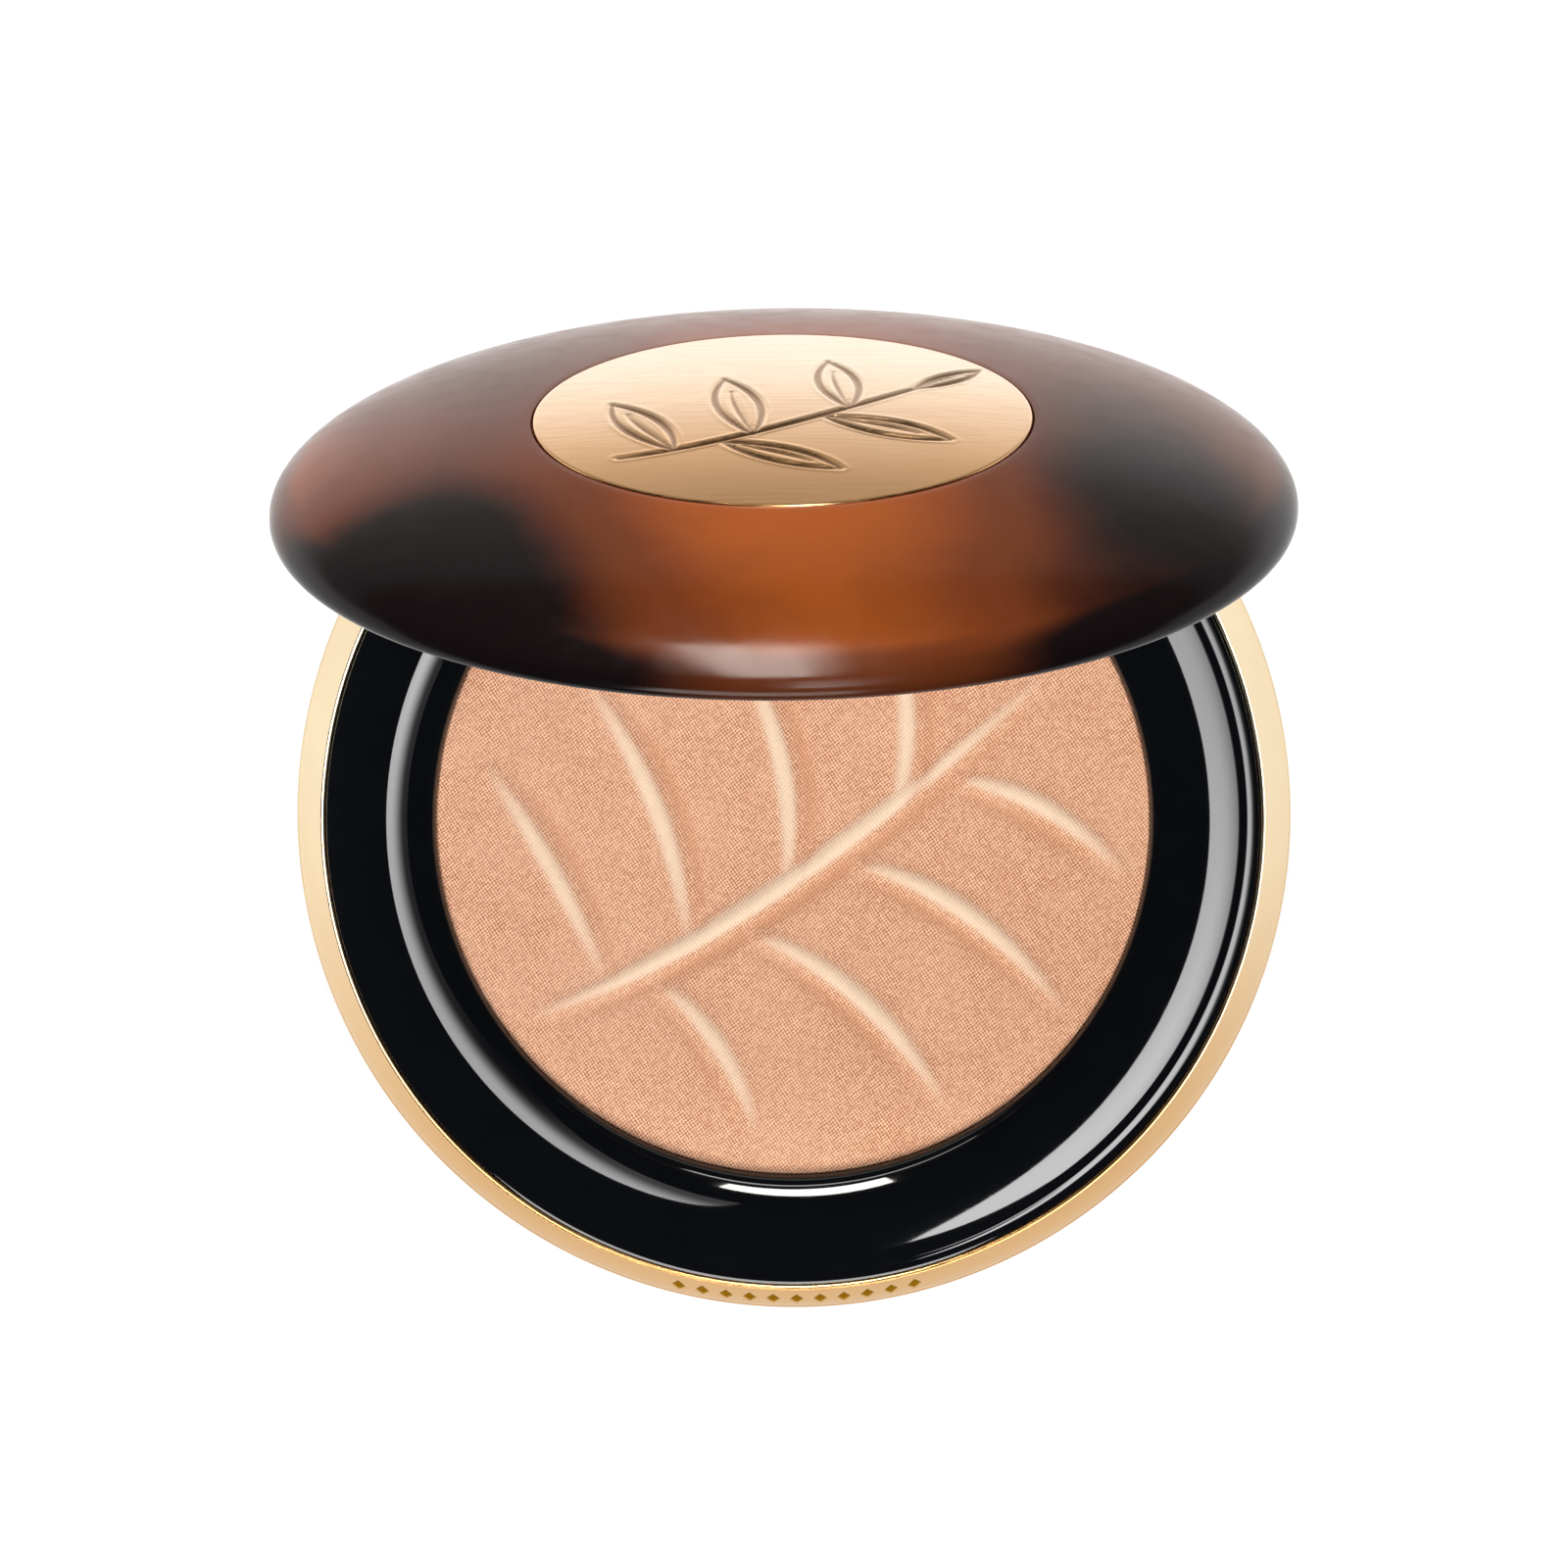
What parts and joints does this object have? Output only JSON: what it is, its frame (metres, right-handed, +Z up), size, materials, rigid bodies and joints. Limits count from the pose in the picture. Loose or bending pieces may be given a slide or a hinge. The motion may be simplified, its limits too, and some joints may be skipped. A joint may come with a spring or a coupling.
{
  "type": "powder compact",
  "caption": "Round pressed-powder compact with a domed hinged lid, metal rim band, inner mirror and a round powder pan in a glossy frame.",
  "frame": {"origin": "centre of the flat underside", "axes": "+Z up, -Y to the front where the lid lifts, +Y to the hinge; the lid is shown 74 degrees open"},
  "size_m": [0.08, 0.0815, 0.0859],
  "materials": {
    "base_shell": "tortoise pattern, satin",
    "rim_band": "polished pale gold",
    "pan_frame": "high gloss black",
    "pan_tray": "moulded black",
    "godet": "tinplate",
    "adhesive": "cured glue",
    "powder": "pressed peach powder",
    "steel": "bare steel",
    "label": "blank label",
    "magnet": "nickel plated",
    "lid_shell": "tortoise pattern, satin",
    "emblem": "satin pale gold with an engraved leaf sprig",
    "inner_cover": "black",
    "mirror": "silvered",
    "tape": "white bonding tape",
    "pad": "clear soft pad"
  },
  "bodies": {
    "base": {"base_shell": "base_shell", "rim_band": "rim_band", "pan_frame": "pan_frame", "pan_tray": "pan_tray", "godet": "godet", "godet_adhesive": "adhesive", "powder_cake": "powder", "weight_plate": "steel", "underside_label": "label", "base_magnet_left": "magnet", "base_magnet_right": "magnet", "hinge_pin": "steel"},
    "lid": {"lid_shell": "lid_shell", "emblem_disc": "emblem", "emblem_adhesive": "adhesive", "mirror_frame": "inner_cover", "mirror": "mirror", "mirror_tape": "tape", "lid_magnet_left": "magnet", "lid_magnet_right": "magnet", "bumper_left": "pad", "bumper_right": "pad"}
  },
  "joints": [
    {"name": "lid_hinge", "type": "hinge", "parent": "base", "child": "lid", "pos_m": [0, 0.0373, 0.0113], "axis": [-1, 0, 0], "range_deg": [-74, 46]}
  ]
}
